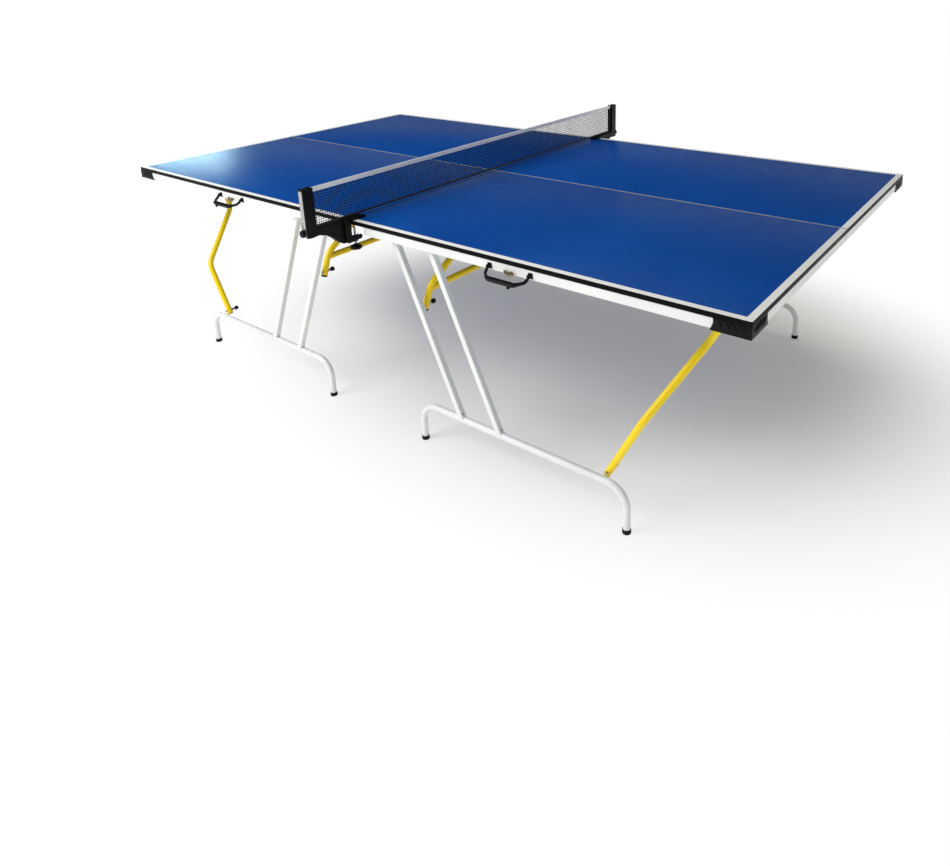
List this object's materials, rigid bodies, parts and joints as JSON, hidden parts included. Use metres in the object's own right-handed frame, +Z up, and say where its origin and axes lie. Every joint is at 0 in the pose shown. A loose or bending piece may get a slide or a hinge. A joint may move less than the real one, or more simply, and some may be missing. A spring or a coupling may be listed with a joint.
{
  "type": "folding table tennis table",
  "caption": "Full-size folding table-tennis table in two halves, with folding legs and braces, centre hinges, carrying handles and a clamp-on net.",
  "frame": {"origin": "on the floor under the centre of the table", "axes": "+X along the table to the right half's end line, -Y to the near side, +Z up"},
  "size_m": [2.74, 1.85, 0.9],
  "materials": {
    "board_paint": "satin paint with white lines",
    "white_paint": "satin powder coat",
    "yellow_paint": "satin powder coat",
    "black_plastic": "fine grain",
    "black_rubber": "matte",
    "zinc_steel": "zinc plated",
    "bright_steel": "bright rod, black knob",
    "net_textile": "open nylon mesh with a white top tape"
  },
  "bodies": {
    "right_near_panel": {"right_near_board": "board_paint", "right_near_side_apron": "white_paint", "right_near_end_apron": "white_paint", "right_near_corner_cap": "black_plastic", "right_near_leg_hanger": "white_paint", "right_near_hinge_rail": "zinc_steel"},
    "right_near_leg": {"right_near_leg_frame": "white_paint", "right_near_foot_tube": "white_paint", "right_near_inner_foot_cap": "black_rubber", "right_near_outer_foot_cap": "black_rubber"},
    "right_near_net_brace": {"right_near_net_side_brace": "yellow_paint"},
    "right_near_end_brace": {"right_near_end_side_brace": "yellow_paint"},
    "right_near_handle_bail": {"right_near_handle": "black_plastic"},
    "right_far_panel": {"right_far_board": "board_paint", "right_far_side_apron": "white_paint", "right_far_end_apron": "white_paint", "right_far_corner_cap": "black_plastic", "right_far_leg_hanger": "white_paint", "right_far_hinge_rail": "zinc_steel"},
    "right_far_leg": {"right_far_leg_frame": "white_paint", "right_far_foot_tube": "white_paint", "right_far_inner_foot_cap": "black_rubber", "right_far_outer_foot_cap": "black_rubber"},
    "right_far_net_brace": {"right_far_net_side_brace": "yellow_paint"},
    "right_far_end_brace": {"right_far_end_side_brace": "yellow_paint"},
    "right_far_handle_bail": {"right_far_handle": "black_plastic"},
    "left_near_panel": {"left_near_board": "board_paint", "left_near_side_apron": "white_paint", "left_near_end_apron": "white_paint", "left_near_corner_cap": "black_plastic", "left_near_leg_hanger": "white_paint", "left_near_hinge_rail": "zinc_steel"},
    "left_near_leg": {"left_near_leg_frame": "white_paint", "left_near_foot_tube": "white_paint", "left_near_inner_foot_cap": "black_rubber", "left_near_outer_foot_cap": "black_rubber"},
    "left_near_net_brace": {"left_near_net_side_brace": "yellow_paint"},
    "left_near_end_brace": {"left_near_end_side_brace": "yellow_paint"},
    "left_near_handle_bail": {"left_near_handle": "black_plastic"},
    "left_far_panel": {"left_far_board": "board_paint", "left_far_side_apron": "white_paint", "left_far_end_apron": "white_paint", "left_far_corner_cap": "black_plastic", "left_far_leg_hanger": "white_paint", "left_far_hinge_rail": "zinc_steel"},
    "left_far_leg": {"left_far_leg_frame": "white_paint", "left_far_foot_tube": "white_paint", "left_far_inner_foot_cap": "black_rubber", "left_far_outer_foot_cap": "black_rubber"},
    "left_far_net_brace": {"left_far_net_side_brace": "yellow_paint"},
    "left_far_end_brace": {"left_far_end_side_brace": "yellow_paint"},
    "left_far_handle_bail": {"left_far_handle": "black_plastic"},
    "right_hinge": {"right_hinge_leaf": "zinc_steel"},
    "left_hinge": {"left_hinge_leaf": "zinc_steel"},
    "near_clamp": {"near_net_clamp": "black_plastic"},
    "near_screw": {"near_clamp_screw": "bright_steel"},
    "far_clamp": {"far_net_clamp": "black_plastic"},
    "far_screw": {"far_clamp_screw": "bright_steel"},
    "net_mesh": {"net": "net_textile"}
  },
  "joints": [
    {"name": "right_near_fold", "type": "hinge", "parent": "right_near_panel", "child": "right_hinge", "pos_m": [0.64, -0.02, 0.714], "axis": [-1, 0, 0], "range_deg": [0, 90]},
    {"name": "right_far_fold", "type": "hinge", "parent": "right_hinge", "child": "right_far_panel", "pos_m": [0.64, 0.02, 0.714], "axis": [-1, 0, 0], "range_deg": [0, 90]},
    {"name": "halves_apart", "type": "slide", "parent": "right_near_panel", "child": "left_near_panel", "axis": [-1, 0, 0], "range_m": [0, 0.5]},
    {"name": "left_near_fold", "type": "hinge", "parent": "left_near_panel", "child": "left_hinge", "pos_m": [-0.64, -0.02, 0.714], "axis": [-1, 0, 0], "range_deg": [0, 90]},
    {"name": "left_far_fold", "type": "hinge", "parent": "left_hinge", "child": "left_far_panel", "pos_m": [-0.64, 0.02, 0.714], "axis": [-1, 0, 0], "range_deg": [0, 90]},
    {"name": "right_near_leg_fold", "type": "hinge", "parent": "right_near_panel", "child": "right_near_leg", "pos_m": [0.285, -0.715, 0.712], "axis": [1, 0, 0], "range_deg": [0, 90]},
    {"name": "right_near_net_brace_fold", "type": "hinge", "parent": "right_near_panel", "child": "right_near_net_brace", "pos_m": [0.27, -0.2, 0.7345], "axis": [0, 1, 0], "range_deg": [0, 87.36]},
    {"name": "right_near_end_brace_fold", "type": "hinge", "parent": "right_near_panel", "child": "right_near_end_brace", "pos_m": [1.263, -0.3, 0.7345], "axis": [0, 1, 0], "range_deg": [0, 62.4]},
    {"name": "right_near_handle_swing", "type": "hinge", "parent": "right_near_panel", "child": "right_near_handle_bail", "pos_m": [0.68, -0.768, 0.729], "axis": [-1, 0, 0], "range_deg": [0, 100]},
    {"name": "right_far_leg_fold", "type": "hinge", "parent": "right_far_panel", "child": "right_far_leg", "pos_m": [0.285, 0.715, 0.712], "axis": [-1, 0, 0], "range_deg": [0, 90]},
    {"name": "right_far_net_brace_fold", "type": "hinge", "parent": "right_far_panel", "child": "right_far_net_brace", "pos_m": [0.27, 0.2, 0.7345], "axis": [0, 1, 0], "range_deg": [0, 87.36]},
    {"name": "right_far_end_brace_fold", "type": "hinge", "parent": "right_far_panel", "child": "right_far_end_brace", "pos_m": [1.263, 0.3, 0.7345], "axis": [0, 1, 0], "range_deg": [0, 62.4]},
    {"name": "right_far_handle_swing", "type": "hinge", "parent": "right_far_panel", "child": "right_far_handle_bail", "pos_m": [0.68, 0.768, 0.729], "axis": [1, 0, 0], "range_deg": [0, 100]},
    {"name": "left_near_leg_fold", "type": "hinge", "parent": "left_near_panel", "child": "left_near_leg", "pos_m": [-0.285, -0.715, 0.712], "axis": [1, 0, 0], "range_deg": [0, 90]},
    {"name": "left_near_net_brace_fold", "type": "hinge", "parent": "left_near_panel", "child": "left_near_net_brace", "pos_m": [-0.27, -0.2, 0.7345], "axis": [0, -1, 0], "range_deg": [0, 87.36]},
    {"name": "left_near_end_brace_fold", "type": "hinge", "parent": "left_near_panel", "child": "left_near_end_brace", "pos_m": [-1.263, -0.3, 0.7345], "axis": [0, -1, 0], "range_deg": [0, 62.4]},
    {"name": "left_near_handle_swing", "type": "hinge", "parent": "left_near_panel", "child": "left_near_handle_bail", "pos_m": [-0.68, -0.768, 0.729], "axis": [-1, 0, 0], "range_deg": [0, 100]},
    {"name": "left_far_leg_fold", "type": "hinge", "parent": "left_far_panel", "child": "left_far_leg", "pos_m": [-0.285, 0.715, 0.712], "axis": [-1, 0, 0], "range_deg": [0, 90]},
    {"name": "left_far_net_brace_fold", "type": "hinge", "parent": "left_far_panel", "child": "left_far_net_brace", "pos_m": [-0.27, 0.2, 0.7345], "axis": [0, -1, 0], "range_deg": [0, 87.36]},
    {"name": "left_far_end_brace_fold", "type": "hinge", "parent": "left_far_panel", "child": "left_far_end_brace", "pos_m": [-1.263, 0.3, 0.7345], "axis": [0, -1, 0], "range_deg": [0, 62.4]},
    {"name": "left_far_handle_swing", "type": "hinge", "parent": "left_far_panel", "child": "left_far_handle_bail", "pos_m": [-0.68, 0.768, 0.729], "axis": [1, 0, 0], "range_deg": [0, 100]},
    {"name": "near_clamp_off", "type": "slide", "parent": "right_near_panel", "child": "near_clamp", "axis": [0, -1, 0], "range_m": [0, 0.08]},
    {"name": "near_screw_turn_down", "type": "slide", "parent": "near_clamp", "child": "near_screw", "axis": [0, 0, -1], "range_m": [0, 0.02]},
    {"name": "far_clamp_off", "type": "slide", "parent": "right_far_panel", "child": "far_clamp", "axis": [0, 1, 0], "range_m": [0, 0.31]},
    {"name": "far_screw_turn_down", "type": "slide", "parent": "far_clamp", "child": "far_screw", "axis": [0, 0, -1], "range_m": [0, 0.02]},
    {"name": "net_lift", "type": "slide", "parent": "right_near_panel", "child": "net_mesh", "axis": [0, 0, 1], "range_m": [0, 0.25]}
  ],
  "couplings": [
    {"joint": "right_near_net_brace_fold", "follows": "right_near_leg_fold", "ratio": 0.97},
    {"joint": "right_near_end_brace_fold", "follows": "right_near_leg_fold", "ratio": 0.693},
    {"joint": "right_far_net_brace_fold", "follows": "right_far_leg_fold", "ratio": 0.97},
    {"joint": "right_far_end_brace_fold", "follows": "right_far_leg_fold", "ratio": 0.693},
    {"joint": "left_near_net_brace_fold", "follows": "left_near_leg_fold", "ratio": 0.97},
    {"joint": "left_near_end_brace_fold", "follows": "left_near_leg_fold", "ratio": 0.693},
    {"joint": "left_far_net_brace_fold", "follows": "left_far_leg_fold", "ratio": 0.97},
    {"joint": "left_far_end_brace_fold", "follows": "left_far_leg_fold", "ratio": 0.693}
  ]
}
